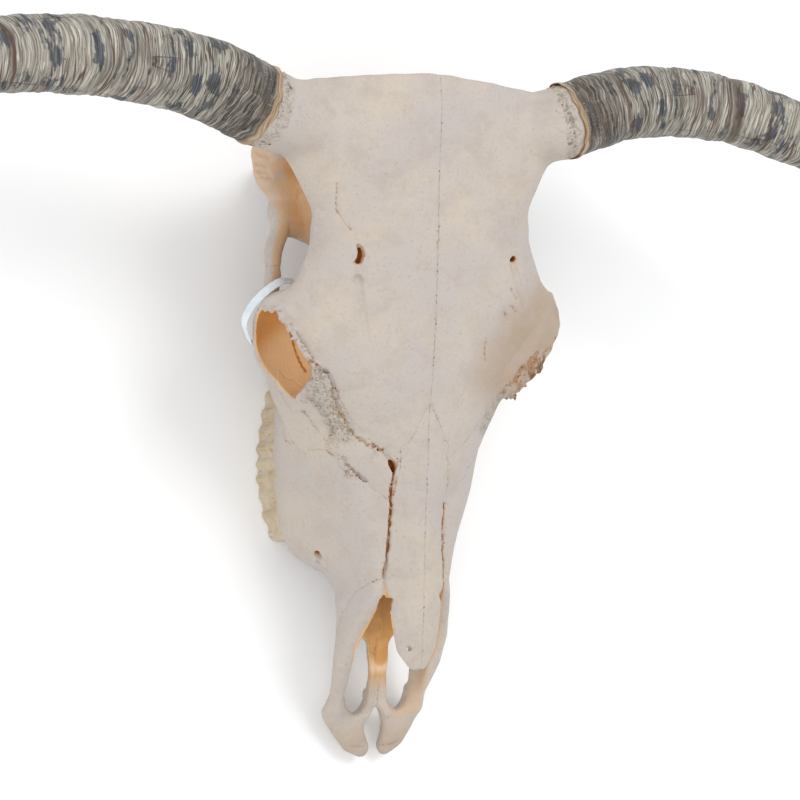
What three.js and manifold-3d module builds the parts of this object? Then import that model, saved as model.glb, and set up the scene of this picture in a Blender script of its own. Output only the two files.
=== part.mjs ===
// Cow skull with its horns, resting on its cheek teeth and on the processes beside the neck joint.
// Millimetres, Z up. X runs to the animal's left and Y from the tip of the muzzle to the poll.
import * as THREE from 'three';
import { LoftGeometry } from 'three/addons/geometries/LoftGeometry.js';
import { mergeVertices } from 'three/addons/utils/BufferGeometryUtils.js';
import Module from 'manifold-3d';

const wasm = await Module();
wasm.setup();

/* Driving sizes */

const POLL_Y = 484; // rear edge of the forehead
const NASION_Y = 257; // rear tip of the nasal bones
const RHINION_Y = 66; // front tip of the nasal bones
const NASAL_THICK = 5.5; // thickness of the nasal bones
const ROOF_FALL = 1.4; // how the roof of the nose curves down from its midline
const NOSTRIL_END = 134; // where the opening of the nose ends under the nasal bones
const SUTURE = 0.35; // open width of the joints between bones
const SIDES = { right: - 1, left: 1 };

const ORBIT_CENTRE = [ 97, 302, 113 ];
const ORBIT_FACING = [ 0.737, - 0.615, 0.282 ]; // the way the eye socket opens
const ORBIT_RADIUS = 29;
const RIM_RADIUS = 6;

const HORN_RADII = [ 29, 27.6, 26.4, 25, 24, 22.4, 19.2, 14.5, 8.5, 1.2 ]; // evenly spaced along a horn
const HORN_PATH = {
	right: [ [ - 128, 461, 177 ], [ - 172, 478, 182 ], [ - 246, 486, 195 ], [ - 317, 481, 211 ], [ - 386, 462, 231 ], [ - 446, 430, 256 ], [ - 490, 388, 288 ], [ - 514, 344, 326 ] ],
	left: [ [ 113, 456, 175 ], [ 170, 470, 180 ], [ 240, 466, 190 ], [ 306, 443, 203 ], [ 368, 410, 222 ], [ 424, 370, 248 ], [ 465, 325, 280 ], [ 488, 280, 318 ] ],
};
const CORE_PATH = [ [ 72, 446, 160 ], [ 104, 455, 172 ], [ 126, 460, 176 ], [ 152, 469, 179 ] ]; // bony core inside the sheath
const CORE_RADII = [ 16, 25, 24.5, 19 ];
const SOCKET_GAP = 0.5; // play between core and sheath
const COLLAR_RADII = [ 22, 27.5, 26.5 ]; // of the swollen bone round a horn's base

const TEETH = 6; // three premolars, then three molars
const TOOTH_ROW = { front: 168, rear: 271 };
const TOOTH_HEIGHT = 34;

const STRIP_WIDTH = 6;
const STRIP_THICK = 0.6;
const STRIP_PATH = [ [ - 83, 350, 113 ], [ - 97, 349, 120 ], [ - 112, 340, 121 ], [ - 121, 330, 117 ], [ - 122, 322, 109 ], [ - 116, 314, 99 ], [ - 108, 311, 84 ], [ - 101, 312, 70 ], [ - 94, 312.5, 66 ] ];
const STRIP_UPRIGHT = [ 0.42, - 0.75, 0.51 ]; // the way its width runs

/* Materials */

const BONE = new THREE.MeshStandardMaterial( { color: 0xe0d6c6, roughness: 0.7, metalness: 0 } );
const HORN = new THREE.MeshStandardMaterial( { color: 0x8f8b80, roughness: 0.6, metalness: 0 } );
const PAPER = new THREE.MeshStandardMaterial( { color: 0xe6e9ec, roughness: 0.8, metalness: 0 } );

/* Helpers */

/** Turns a closed geometry into a solid that can be joined and cut. */
function solid( geometry ) {

	geometry.deleteAttribute( 'normal' );
	geometry.deleteAttribute( 'uv' );
	const merged = mergeVertices( new THREE.BufferGeometry().copy( geometry ), 1e-4 );
	const triVerts = Uint32Array.from( merged.index.array );
	const vertProperties = Float32Array.from( merged.attributes.position.array );
	return new wasm.Manifold( new wasm.Mesh( { numProp: 3, vertProperties, triVerts } ) );

}

/** Joins several solids. */
function join( solids ) {

	return solids.reduce( ( whole, part ) => whole.add( part ) );

}

/** A smooth run of values along Y, through stations of [ y, value, ... ]. */
function rail( ...stations ) {

	const values = stations.flatMap( ( station ) => station.slice( 1 ) );
	const size = stations[ 0 ].length - 1;
	const curve = new THREE.CubicInterpolant( stations.map( ( s ) => s[ 0 ] ), values, size, new Float64Array( size ) );
	return ( y ) => Array.from( curve.evaluate( y ) );

}

/** Evenly spaced numbers from start to end. */
function span( start, end, steps ) {

	return Array.from( { length: steps + 1 }, ( _, i ) => start + ( end - start ) * i / steps );

}

/** A smooth closed ring through a few points. */
function ring( points, perPoint ) {

	const curve = new THREE.CatmullRomCurve3( points, true );
	const count = points.length * perPoint;
	return Array.from( { length: count }, ( _, i ) => curve.getPoint( i / count ) );

}

/** A body alike on both sides, lofted along Y through lines that run from its top to its underside. */
function evenLoft( lines, stations, perPoint = 2 ) {

	const sections = stations.map( ( y ) => {

		const half = lines.map( ( line ) => line( y ) );
		const other = half.slice( 1, - 1 ).reverse().map( ( [ x, z ] ) => [ - x, z ] );
		return ring( [ ...half, ...other ].map( ( [ x, z ] ) => new THREE.Vector3( x, y, z ) ), perPoint );

	} );
	return solid( new LoftGeometry( sections, { capStart: true, capEnd: true } ) );

}

/** A rod along a smooth path, of oval section: half its width across and half its height along up. */
function rod( path, halfWidth, halfHeight, { up = [ 0, 0, 1 ], steps = 6, around = 8, turn = 0 } = {} ) {

	const curve = new THREE.CatmullRomCurve3( path.map( ( p ) => new THREE.Vector3( ...p ) ) );
	const upright = new THREE.Vector3( ...up );
	const sections = span( 0, 1, steps ).map( ( t ) => {

		const centre = curve.getPoint( t );
		const ahead = curve.getTangent( t );
		const across = upright.clone().cross( ahead ).normalize();
		const above = ahead.clone().cross( across );
		return span( turn, turn + 2 * Math.PI, around ).slice( 0, - 1 ).map( ( angle ) => centre.clone()
			.addScaledVector( across, halfWidth( t ) * Math.cos( angle ) )
			.addScaledVector( above, halfHeight( t ) * Math.sin( angle ) ) );

	} );
	return solid( new LoftGeometry( sections, { capStart: true, capEnd: true } ) );

}

/** A path given for the left side, on one side. */
function onSide( side, path ) {

	return path.map( ( [ x, y, z ] ) => [ side * x, y, z ] );

}

/** A run of sizes along a rod, evenly spaced from its start to its end. */
function sizes( ...values ) {

	const line = rail( ...values.map( ( value, i ) => [ i / ( values.length - 1 ), value ] ) );
	return ( t ) => line( t )[ 0 ];

}

/** An egg-shaped lump. */
function lump( centre, halfSizes, around = 6 ) {

	const ball = new THREE.SphereGeometry( 1, around, 4 );
	ball.scale( ...halfSizes );
	ball.translate( ...centre );
	return solid( ball );

}

/** Moves the edge of a convex or nearly convex outline outwards. */
function grown( outline, amount ) {

	if ( amount === 0 ) return outline;
	const clockwise = THREE.ShapeUtils.isClockWise( outline.map( ( p ) => new THREE.Vector2( ...p ) ) ) ? - 1 : 1;
	return outline.map( ( [ u, v ], i ) => {

		const [ pu, pv ] = outline[ ( i + outline.length - 1 ) % outline.length ];
		const [ nu, nv ] = outline[ ( i + 1 ) % outline.length ];
		const before = new THREE.Vector2( v - pv, pu - u ).normalize();
		const after = new THREE.Vector2( nv - v, u - nu ).normalize();
		const out = before.add( after );
		out.multiplyScalar( 2 * amount * clockwise / out.lengthSq() );
		return [ u + out.x, v + out.y ];

	} );

}

/** A prism of an outline in X and Y, from one height to another. */
function uprightPrism( outline, bottom, top ) {

	const shape = new THREE.Shape( outline.map( ( p ) => new THREE.Vector2( ...p ) ) );
	const prism = new THREE.ExtrudeGeometry( shape, { depth: top - bottom, bevelEnabled: false } );
	prism.translate( 0, 0, bottom );
	return solid( prism );

}

/** A prism of an outline in Y and Z, across from one X to another. */
function crossPrism( outline, from, to ) {

	const shape = new THREE.Shape( outline.map( ( p ) => new THREE.Vector2( ...p ) ) );
	const prism = new THREE.ExtrudeGeometry( shape, { depth: Math.abs( to - from ), bevelEnabled: false } );
	prism.applyMatrix4( new THREE.Matrix4().makeBasis(
		new THREE.Vector3( 0, 1, 0 ), new THREE.Vector3( 0, 0, 1 ), new THREE.Vector3( 1, 0, 0 ) ) );
	prism.translate( Math.min( from, to ), 0, 0 );
	return solid( prism );

}

/** A named mesh of a solid. */
function meshOf( name, body, material ) {

	const { vertProperties, triVerts } = body.getMesh();
	const geometry = new THREE.BufferGeometry();
	geometry.setAttribute( 'position', new THREE.BufferAttribute( Float32Array.from( vertProperties ), 3 ) );
	geometry.setIndex( new THREE.BufferAttribute( Uint32Array.from( triVerts ), 1 ) );
	geometry.computeVertexNormals();
	const mesh = new THREE.Mesh( geometry, material );
	mesh.name = name;
	return mesh;

}

/* The lines of the face, from the bridge of the nose down to the palate: [ y, x, z ] */

const bridge = rail( [ 28, 0, 62 ], [ 66, 0, 102 ], [ 88, 0, 109 ], [ 128, 0, 119 ], [ 160, 0, 126.5 ], [ 218, 0, 140 ], [ NASION_Y, 0, 149 ], [ 300, 0, 161 ] );
const shoulder = rail( [ 28, 16, 46 ], [ 66, 16, 89 ], [ 88, 19.5, 98 ], [ 128, 21, 105 ], [ 158, 21.5, 111 ], [ 190, 21.5, 122 ], [ 220, 22, 134 ], [ NASION_Y, 34, 145 ], [ 300, 46, 157 ] );
const upperCheek = rail( [ 28, 30, 34 ], [ 57, 41, 46 ], [ 72, 43, 60 ], [ 88, 41, 76 ], [ 103, 36, 89 ], [ 128, 32, 98 ], [ 158, 36, 103 ], [ 190, 44, 111 ], [ 218, 53, 113 ], [ NASION_Y, 72, 123 ], [ 300, 97, 142 ] );
const cheek = rail( [ 28, 40, 21 ], [ 60, 40, 34 ], [ 88, 43, 55 ], [ 128, 41, 64 ], [ 158, 50, 71 ], [ 190, 63, 75 ], [ 218, 71, 74 ], [ NASION_Y, 81, 84 ], [ 300, 98, 92 ] );
const gum = rail( [ 28, 41, 17 ], [ 47, 39, 22 ], [ 65, 37, 28 ], [ 88, 36, 34 ], [ 130, 34, 36 ], [ 141, 41, 34 ], [ 149, 55, 29 ], [ 158, 65, 28 ], [ 168, 70, 28 ], [ 218, 73, 29 ], [ NASION_Y, 70, 30 ], [ 300, 54, 40 ] );
const gumInside = rail( [ 28, 33, 13 ], [ 60, 27, 24 ], [ 88, 25, 30 ], [ 130, 26, 30 ], [ 158, 47, 23 ], [ 218, 54, 24 ], [ NASION_Y, 52, 26 ], [ 300, 40, 34 ] );
const palate = rail( [ 28, 0, 14 ], [ 60, 0, 26 ], [ 88, 0, 32 ], [ 130, 0, 33 ], [ 160, 0, 34 ], [ 218, 0, 38 ], [ 300, 0, 42 ] );
const FACE_LINES = [ bridge, shoulder, upperCheek, cheek, gum, gumInside, palate ];

/* The lines of the forehead and braincase, from the crown down to the base */

const crown = rail( [ 236, 0, 138 ], [ NASION_Y, 0, 148.5 ], [ 328, 0, 169 ], [ 410, 0, 187 ], [ 455, 0, 198 ], [ POLL_Y, 0, 201 ] );
const brow = rail( [ 236, 24, 134 ], [ NASION_Y, 40, 145 ], [ 300, 62, 157 ], [ 328, 64, 164 ], [ 384, 50, 179 ], [ 430, 60, 187 ], [ POLL_Y, 58, 191 ] );
const temporalLine = rail( [ 236, 50, 112 ], [ NASION_Y, 76, 115 ], [ 275, 100, 120 ], [ 292, 110, 132 ], [ 311, 114, 142 ], [ 333, 106, 147 ], [ 349, 98, 150 ], [ 384, 87, 158 ], [ 406, 92, 162 ], [ 430, 111, 166 ], [ 455, 117, 172 ], [ POLL_Y, 106, 178 ] );
const underEdge = rail( [ 236, 44, 98 ], [ NASION_Y, 68, 98 ], [ 275, 88, 106 ], [ 292, 100, 122 ], [ 333, 97, 136 ], [ 384, 76, 146 ], [ 430, 96, 150 ], [ 455, 103, 152 ], [ POLL_Y, 96, 160 ] );
const upperWall = rail( [ 236, 36, 96 ], [ 300, 34, 122 ], [ 349, 50, 120 ], [ 384, 60, 122 ], [ 430, 68, 124 ], [ POLL_Y, 80, 130 ] );
const lowerWall = rail( [ 236, 28, 76 ], [ 300, 28, 88 ], [ 349, 42, 82 ], [ 384, 56, 82 ], [ 430, 70, 82 ], [ POLL_Y, 82, 84 ] );
const baseEdge = rail( [ 236, 18, 62 ], [ 300, 20, 62 ], [ 349, 24, 54 ], [ 384, 34, 50 ], [ 430, 38, 44 ], [ POLL_Y, 40, 42 ] );
const base = rail( [ 236, 0, 60 ], [ 349, 0, 52 ], [ 384, 0, 46 ], [ 430, 0, 38 ], [ POLL_Y, 0, 38 ] );
const CRANIUM_LINES = [ crown, brow, temporalLine, underEdge, upperWall, lowerWall, baseEdge, base ];

/* The inside of the nose, from its roof to its floor */

const CAVITY_LINES = [
	rail( [ 20, 0, 68 ], [ 88, 0, 100 ], [ 128, 0, 111 ], [ 168, 0, 118 ] ),
	rail( [ 20, 24, 49 ], [ 88, 24, 82 ], [ 128, 18, 98 ], [ 168, 16, 102 ] ),
	rail( [ 20, 31, 34 ], [ 60, 32, 42 ], [ 88, 35, 58 ], [ 128, 34, 64 ], [ 168, 39, 71 ] ),
	rail( [ 20, 30, 24 ], [ 60, 31, 32 ], [ 88, 31, 42 ], [ 128, 28, 42 ], [ 168, 33, 47 ] ),
	rail( [ 20, 0, 24 ], [ 60, 0, 32 ], [ 88, 0, 39 ], [ 128, 0, 41 ], [ 168, 0, 45 ] ),
];

/** Half the width of the nasal bones at y. */
const nasalEdge = rail( [ RHINION_Y, 6 ], [ 78, 15 ], [ 100, 19.5 ], [ 121, 22 ], [ 190, 21.5 ], [ 220, 19 ], [ 238, 11 ], [ NASION_Y, 0.6 ] );

/* Pieces of the skull's outer form, for one side each */

/** Body of the premaxilla, the toothless plate at the tip of the muzzle. */
function muzzlePlate( side ) {

	const inner = rail( [ - 1, 6 ], [ 3, 2.4 ], [ 12, 4.2 ], [ 22, 5.6 ], [ 33, 3.6 ], [ 41, 1.4 ], [ 52, 1 ] );
	const outer = rail( [ - 1, 12 ], [ 4, 23 ], [ 13, 31 ], [ 25, 40 ], [ 34, 45 ], [ 40, 45.5 ], [ 46, 41 ], [ 52, 37 ] );
	const middle = rail( [ - 1, 11 ], [ 13, 13 ], [ 30, 16 ], [ 52, 20 ] );
	const thick = rail( [ - 1, 2 ], [ 5, 5 ], [ 30, 6.5 ], [ 52, 5 ] );
	const sections = span( - 1, 52, 8 ).map( ( y ) => {

		const [ a ] = inner( y ), [ b ] = outer( y ), [ z ] = middle( y ), [ h ] = thick( y );
		return span( 0, 2 * Math.PI, 8 ).slice( 0, - 1 ).map( ( angle ) => new THREE.Vector3(
			side * ( ( a + b ) / 2 + ( b - a ) / 2 * Math.cos( angle ) ), y, z - side * h * Math.sin( angle ) ) );

	} );
	return solid( new LoftGeometry( sections, { capStart: true, capEnd: true } ) );

}

/** A row of cheek teeth with flat crowns. */
function toothRow( side ) {

	const outerFace = rail( [ TOOTH_ROW.front, 65 ], [ 188, 71 ], [ 214, 74 ], [ 240, 71.5 ], [ TOOTH_ROW.rear, 63.5 ] );
	const pitch = ( TOOTH_ROW.rear - TOOTH_ROW.front ) / ( TEETH - 1 );
	const lobes = span( 0, TEETH - 1, TEETH - 1 ).map( ( i ) => {

		const y = TOOTH_ROW.front + i * pitch;
		const halfWide = 8 + Math.min( i, 3 );
		const lobe = new THREE.CylinderGeometry( 1, 0.94, TOOTH_HEIGHT, 6 );
		lobe.rotateX( Math.PI / 2 );
		lobe.scale( halfWide, pitch * 0.56, 1 );
		lobe.translate( side * ( outerFace( y )[ 0 ] - halfWide ), y, TOOTH_HEIGHT / 2 );
		return solid( lobe );

	} );
	return join( lobes );

}

/** The cheek bone from the face under the eye socket back to the root behind the jaw joint. */
function zygomaticArch( side ) {

	const path = [ [ 70, 246, 74 ], [ 86, 282, 78 ], [ 95, 318, 86 ], [ 91, 350, 92 ], [ 88, 374, 91 ], [ 79, 396, 90 ], [ 76, 414, 89 ], [ 89, 430, 90 ], [ 94, 441, 92 ] ];
	return rod( onSide( side, path ), sizes( 9, 9, 7, 6.5, 7, 8, 8, 9, 6 ), sizes( 12, 12, 9, 8, 8, 9, 10, 11, 8 ), { steps: 10, around: 6 } );

}

/** The rim of the eye socket, from the brow round its side and underneath to the tear bone. */
function orbitRim( side ) {

	const path = [ [ 103, 331, 141 ], [ 111, 330, 126 ], [ 109, 318, 109 ], [ 106, 306, 98 ], [ 99, 294, 90 ], [ 89, 281, 86 ], [ 78, 273, 92 ] ];
	return rod( onSide( side, path ), () => RIM_RADIUS, () => RIM_RADIUS, { steps: 7, around: 6, up: [ 0.3 * side, 1, 0 ] } );

}

/** The plate of the brow that reaches out over the eye socket to its side. */
function browPlate( side ) {

	const path = [ [ 88, 327, 147.5 ], [ 98, 328, 145.5 ], [ 106, 330.5, 142 ], [ 113, 332.5, 137.5 ], [ 117, 331, 132 ] ];
	return rod( onSide( side, path ), sizes( 32, 24.5, 16.5, 7, 5 ), () => 4, { steps: 4, around: 6 } );

}

/** The bar behind the eye socket, from the brow down to the cheek bone. */
function postorbitalBar( side ) {

	const path = [ [ 97, 334, 140 ], [ 104, 335, 124 ], [ 103, 334, 108 ], [ 96, 332, 92 ] ];
	return rod( onSide( side, path ), sizes( 5, 4, 4, 6 ), sizes( 10, 6.5, 6.5, 9 ), { steps: 4, around: 6, up: [ 0, 1, 0 ] } );

}

/** The shelf that carries the jaw joint, from the braincase out to the cheek bone. */
function jawShelf( side ) {

	const path = [ [ 48, 406, 84 ], [ 68, 406, 86 ], [ 82, 406, 88 ] ];
	return rod( onSide( side, path ), sizes( 28, 25, 16 ), sizes( 14, 9, 8 ), { steps: 3 } );

}

/** The plate between the palate and the base of the braincase. */
function pterygoidPlate( side ) {

	const path = [ [ 20, 288, 50 ], [ 21, 320, 48 ], [ 22, 348, 46 ], [ 21, 372, 48 ] ];
	return rod( onSide( side, path ), () => 3.5, sizes( 18, 20, 20, 8 ), { steps: 4, around: 6 } );

}

/** The process beside the neck joint, which reaches the ground. */
function neckProcess( side ) {

	const path = [ [ 50, 440, 62 ], [ 53, 447, 34 ], [ 49, 451, 14 ], [ 46, 451, - 4 ] ];
	return rod( onSide( side, path ), sizes( 13, 11, 8, 5 ), sizes( 12, 9, 7, 5 ), { steps: 4, around: 6, up: [ 0, 1, 0 ] } );

}

/** The bony core that the horn sheath sits on. */
function hornCore( side ) {

	return rod( onSide( side, CORE_PATH ), sizes( ...CORE_RADII ), sizes( ...CORE_RADII ), { steps: 3, around: 10 } );

}

/** The swollen bone that the rim of a horn's sheath meets. */
function hornCollar( name ) {

	const [ start, next ] = HORN_PATH[ name ];
	const inside = start.map( ( v, i ) => v + ( next[ i ] - v ) * 0.15 );
	const path = [ [ SIDES[ name ] * 84, 449, 166 ], start, inside ];
	return rod( path, sizes( ...COLLAR_RADII ), sizes( ...COLLAR_RADII ), { steps: 4, around: 10 } );

}

/** A horn's outer form, grown by an amount. */
function hornForm( name, grow ) {

	const radii = sizes( ...HORN_RADII.map( ( r ) => r + grow ) );
	return rod( HORN_PATH[ name ], radii, radii, { steps: 12, around: 10 } ).translate( - SIDES[ name ] * grow, 0, 0 );

}

/* The whole bone, before it is parted */

const bothSides = ( build ) => Object.values( SIDES ).map( build );

const face = evenLoft( FACE_LINES, [ ...span( 28, 130, 5 ), 141, 149, 158, 172, ...span( 194, 300, 5 ) ] );
const cranium = evenLoft( CRANIUM_LINES, [ ...span( 236, 350, 6 ), ...span( 370, POLL_Y, 5 ) ] );

const NAPE = [ [ POLL_Y + 20, 230 ], [ POLL_Y + 0.5, 230 ], [ POLL_Y, 196 ], [ 479, 172 ], [ 470, 140 ], [ 463, 100 ], [ 454, 80 ], [ 452, - 10 ], [ POLL_Y + 20, - 10 ] ];
const POLL = [ [ - 150, 485 ], [ - 107, 484 ], [ - 82, 481 ], [ - 50, 484 ], [ 0, 483 ], [ 52, 479 ], [ 86, 476 ], [ 150, 478 ], [ 150, 540 ], [ - 150, 540 ] ];
const NOSTRIL = [ [ - 20, 29 ], [ 38, 30 ], [ 57, 45 ], [ 90, 71 ], [ 115, 92 ], [ 129, 105 ], [ 134, 130 ], [ 134, 200 ], [ - 20, 200 ] ];

/** The eye socket, a funnel that narrows inwards. */
function orbit( side ) {

	const along = ( distance ) => ORBIT_CENTRE.map( ( c, i ) => ( c + ORBIT_FACING[ i ] * distance ) * ( i === 0 ? side : 1 ) );
	return rod( [ along( 34 ), along( 0 ), along( - 28 ), along( - 62 ) ], sizes( 33, ORBIT_RADIUS, 29, 14 ), sizes( 33, ORBIT_RADIUS, 27, 14 ), { steps: 3, around: 10 } );

}

/** The long opening in the roof of the mouth beside the midline. */
function palatineFissure( side ) {

	const halfLong = 32, halfWide = 11, middle = [ 17.5, 63 ];
	const outline = span( 0, 2 * Math.PI, 8 ).slice( 0, - 1 ).map( ( angle ) => [
		side * ( middle[ 0 ] + halfWide * Math.cos( angle ) ), middle[ 1 ] + halfLong * Math.sin( angle ) ] );
	return uprightPrism( outline, - 10, 60 );

}

/** The height of the nose's roof at a distance from the midline. */
const roof = ( x, y ) => bridge( y )[ 1 ] - ( bridge( y )[ 1 ] - shoulder( y )[ 1 ] ) * ( x / shoulder( y )[ 0 ] ) ** ROOF_FALL;

/** The nasal bones where they reach out over the nostril. */
const nasalPlate = evenLoft( [ [ 0, 0 ], [ 0.5, 0 ], [ 1, 0 ], [ 1, NASAL_THICK ], [ 0.5, NASAL_THICK ], [ 0, NASAL_THICK ] ].map( ( [ part, under ] ) => ( y ) => {

	const x = part * nasalEdge( y )[ 0 ];
	return [ x, roof( x, y ) - under ];

} ), span( RHINION_Y, NOSTRIL_END + 6, 5 ), 1 );
const muzzleSlit = uprightPrism( [ [ 0, - 6 ], [ 2.2, 3 ], [ 4.2, 12 ], [ 5.4, 22 ], [ 3.6, 33 ], [ 0, 43 ], [ - 3.6, 33 ], [ - 5.4, 22 ], [ - 4.2, 12 ], [ - 2.2, 3 ] ], - 10, 60 );
const vomer = rod( [ [ 0, 50, 26 ], [ 0, 90, 38 ], [ 0, 130, 46 ], [ 0, 180, 56 ] ], () => 2.6, sizes( 3, 9, 14, 18 ), { steps: 3, around: 6 } );
const foramenMagnum = rod( [ [ 0, 500, 62 ], [ 0, 430, 66 ] ], () => 18, () => 17, { steps: 1, around: 10 } );
const choana = rod( [ [ 0, 392, 30 ], [ 0, 340, 44 ], [ 0, 290, 56 ] ], sizes( 14, 15, 14 ), sizes( 12, 14, 10 ), { steps: 3 } );
const underGround = uprightPrism( [ [ - 200, - 50 ], [ 200, - 50 ], [ 200, 600 ], [ - 200, 600 ] ], - 60, 0 );

let skull = join( [
	face.subtract( crossPrism( NOSTRIL, - 80, 80 ) ),
	cranium,
	...bothSides( jawShelf ),
	...Object.keys( SIDES ).map( hornCollar ),
	...bothSides( ( side ) => lump( [ side * 71, 304, 76 ], [ 26, 34, 19 ] ) ), // floor of the eye socket
	...bothSides( ( side ) => lump( [ side * 84, 446, 96 ], [ 19, 14, 26 ] ) ), // mastoid wings
] );
for ( const name of Object.keys( SIDES ) ) skull = skull.subtract( hornForm( name, SOCKET_GAP ) );
skull = join( [ skull, ...bothSides( hornCore ) ] );
for ( const cut of [ crossPrism( NAPE, - 160, 160 ), uprightPrism( POLL, 150, 230 ), evenLoft( CAVITY_LINES, span( 20, 168, 4 ), 1 ), ...bothSides( orbit ) ] ) skull = skull.subtract( cut );
skull = join( [
	skull,
	vomer,
	nasalPlate,
	...bothSides( browPlate ),
	...bothSides( orbitRim ),
	...bothSides( postorbitalBar ),
	...bothSides( zygomaticArch ),
	...bothSides( pterygoidPlate ),
	...bothSides( neckProcess ),
	...bothSides( muzzlePlate ),
	...bothSides( toothRow ),
	...bothSides( ( side ) => lump( [ side * 25, 457, 44 ], [ 15, 12, 21 ] ) ), // neck joint
	...bothSides( ( side ) => lump( [ side * 38, 424, 36 ], [ 11, 18, 16 ] ) ), // ear capsules
] );
for ( const cut of [ ...bothSides( palatineFissure ), muzzleSlit, foramenMagnum, choana, underGround ] ) skull = skull.subtract( cut );

/* Parting the skull into its bones. Each region is a function of how far it is grown, so that the rest keeps clear of it. */

/** A region of an outline in Y and Z, between two distances from the midline. */
const sideRegion = ( side, outline, inner, outer ) => ( grow ) => crossPrism( grown( outline, grow ), side * ( inner - grow ), side * ( outer + grow ) );

/** A region of an outline in X and Y, between two heights. */
const topRegion = ( side, outline, bottom, top ) => ( grow ) => uprightPrism( grown( outline.map( ( [ x, y ] ) => [ side * x, y ] ), grow ), bottom - grow, top );

/** The region of one nasal bone. */
const nasalRegion = ( side ) => ( grow ) => {

	const sections = span( RHINION_Y - 8, NASION_Y, 6 ).map( ( y ) => {

		const nostril = y < NOSTRIL_END;
		const inner = SUTURE / 2 - grow;
		const outer = nasalEdge( Math.max( y, RHINION_Y ) )[ 0 ] + grow + ( nostril ? 3 : 0 );
		const fall = ( bridge( y )[ 1 ] - shoulder( y )[ 1 ] ) / shoulder( y )[ 0 ];
		const floor = ( x ) => bridge( y )[ 1 ] - fall * x - NASAL_THICK - 1.2 - grow - ( nostril ? 9 : 0 );
		const section = [ [ inner, 300 ], [ outer, 300 ], [ outer, floor( outer ) ], [ inner, floor( inner ) ] ];
		return ( side > 0 ? section : section.reverse() ).map( ( [ x, z ] ) => new THREE.Vector3( side * x, y + ( y === NASION_Y ? grow : 0 ), z ) );

	} );
	return solid( new LoftGeometry( sections, { capStart: true, capEnd: true } ) );

};

const LACRIMAL = [ [ 90, 292 ], [ 77, 282 ], [ 55, 249 ], [ 34, 227 ], [ 21, 219 ], [ 22, 188 ], [ 55, 220 ], [ 66, 238 ], [ 79, 258 ], [ 94, 268 ] ];
const PREMAXILLA = [ [ - 20, - 10 ], [ 60, - 10 ], [ 64, 26 ], [ 99, 46 ], [ 126, 80 ], [ 143, 122 ], [ - 20, 122 ] ];
const ZYGOMATIC = [ [ 240, 62 ], [ 230, 80 ], [ 230, 103 ], [ 242, 114 ], [ 300, 114 ], [ 316, 124 ], [ 352, 124 ], [ 368, 118 ], [ 356, 62 ] ];
const TEMPORAL = [ [ 350, 50 ], [ 350, 128 ], [ 476, 128 ], [ 476, 50 ] ];
const FRONTAL = [ [ 218, 128 ], [ 262, 122 ], [ 290, 112 ], [ 316, 119 ], [ 352, 120 ], [ 380, 130 ], [ 520, 142 ], [ 520, 260 ], [ 218, 260 ] ];
const OCCIPITAL = [ [ 436, - 10 ], [ 436, 60 ], [ 462, 108 ], [ 470, 141 ], [ 520, 141 ], [ 520, - 10 ] ];
const MAXILLA = [ [ - 20, - 10 ], [ 301, - 10 ], [ 301, 250 ], [ - 20, 250 ] ];
const SOCKET_FLOOR = [ [ 290, 50 ], [ 339, 50 ], [ 339, 100 ], [ 290, 100 ] ];
const FAR = 200; // beyond the skull's side

let rest = skull;
const group = new THREE.Group();

/** Takes the bone inside a region out of the rest of the skull. */
function part( name, region ) {

	group.add( meshOf( name, rest.intersect( region( 0 ) ), BONE ) );
	rest = rest.subtract( region( SUTURE ) );

}

const divisions = [
	[ 'nasal', nasalRegion ],
	[ 'lacrimal', ( side ) => topRegion( side, LACRIMAL, 86, 170 ) ],
	[ 'premaxilla', ( side ) => sideRegion( side, PREMAXILLA, SUTURE / 2, FAR ) ],
	[ 'zygomatic', ( side ) => sideRegion( side, ZYGOMATIC, 64, FAR ) ],
	[ 'temporal', ( side ) => sideRegion( side, TEMPORAL, 66, FAR ) ],
	[ 'frontal', ( side ) => sideRegion( side, FRONTAL, SUTURE / 2, FAR ) ],
	[ 'maxilla', ( side ) => ( grow ) => sideRegion( side, MAXILLA, SUTURE / 2, FAR )( grow ).add( sideRegion( side, SOCKET_FLOOR, 43, FAR )( grow ) ) ],
];
for ( const [ bone, region ] of divisions ) {

	for ( const [ name, side ] of Object.entries( SIDES ) ) part( `${ bone }_${ name }`, region( side ) );

}

part( 'occipital', ( grow ) => crossPrism( grown( OCCIPITAL, grow ), - FAR, FAR ) );
group.add( meshOf( 'braincase', rest, BONE ) );

/* Horn sheaths */

for ( const [ name, side ] of Object.entries( SIDES ) ) {

	const radii = sizes( ...CORE_RADII.map( ( r ) => r + SOCKET_GAP ) );
	const socket = rod( onSide( side, CORE_PATH ), radii, radii, { steps: 3, around: 10 } );
	group.add( meshOf( `horn_${ name }`, hornForm( name, 0 ).subtract( socket.translate( side * SOCKET_GAP, 0, 0 ) ), HORN ) );

}

/* A paper strip bent round the outside of the right eye socket, with its ends tucked behind the bone */

const toCorner = Math.SQRT1_2; // from half a side to the corner of a rectangle's ring
const strip = rod( STRIP_PATH, () => STRIP_THICK * toCorner, () => STRIP_WIDTH * toCorner, { up: STRIP_UPRIGHT, steps: 16, around: 4, turn: Math.PI / 4 } );
group.add( meshOf( 'label_strip', strip, PAPER ) );

/* The origin is the middle of the ground under the whole piece */

const box = new THREE.Box3().setFromObject( group );
group.position.set( - ( box.min.x + box.max.x ) / 2, - ( box.min.y + box.max.y ) / 2, - box.min.z );

export default group;
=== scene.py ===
"""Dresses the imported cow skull: worn bone in its pieces, ringed horn sheaths and a bare label strip."""

import math

import bmesh
import bpy
import numpy as np
import openvdb as vdb
from mathutils import Matrix


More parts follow.
